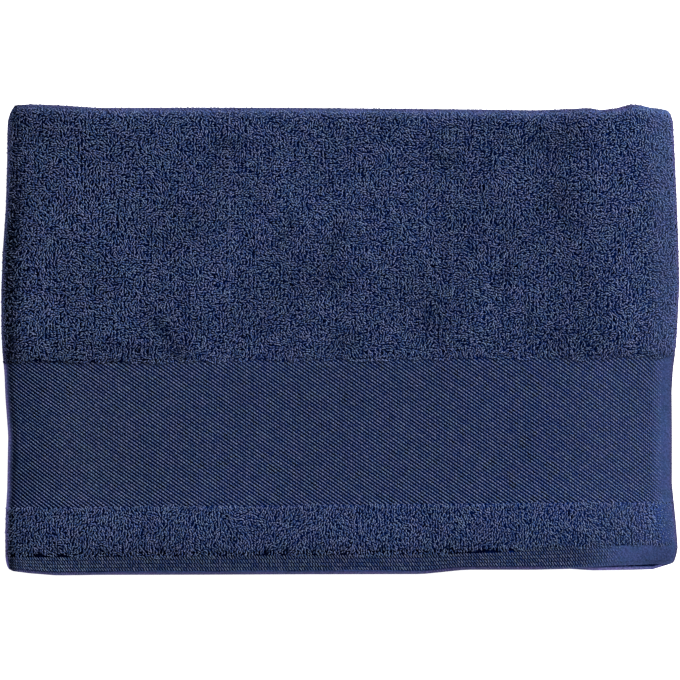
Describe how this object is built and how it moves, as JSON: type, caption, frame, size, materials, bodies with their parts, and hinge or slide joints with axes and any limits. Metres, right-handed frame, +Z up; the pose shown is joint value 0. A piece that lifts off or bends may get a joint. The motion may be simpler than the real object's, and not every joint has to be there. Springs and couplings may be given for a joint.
{
  "type": "bath towel",
  "caption": "Folded bath towel: terry cloth with a flat twill border and a turned hem, its long sides folded in under it and the doubled cloth laid back and forth in flat panels.",
  "frame": {"origin": "centre of the rectangle that the folded towel stands on, on its flat underside", "axes": "+X along the hem, to the right; +Y from the hem to the back folds; +Z up, out of the top panel"},
  "size_m": [0.3496, 0.2428, 0.0443],
  "materials": {
    "terry": "dark navy cotton terry, loops standing on both faces, matt, with a soft haze along the folds",
    "twill": "flat woven band of the same navy cotton, fine diagonal ribs, dull sheen on the thread floats",
    "hem": "turned and sewn edge of plain woven navy cotton, fine close weave, matt"
  },
  "bodies": {
    "root": {"towel": "terry"}
  },
  "joints": []
}
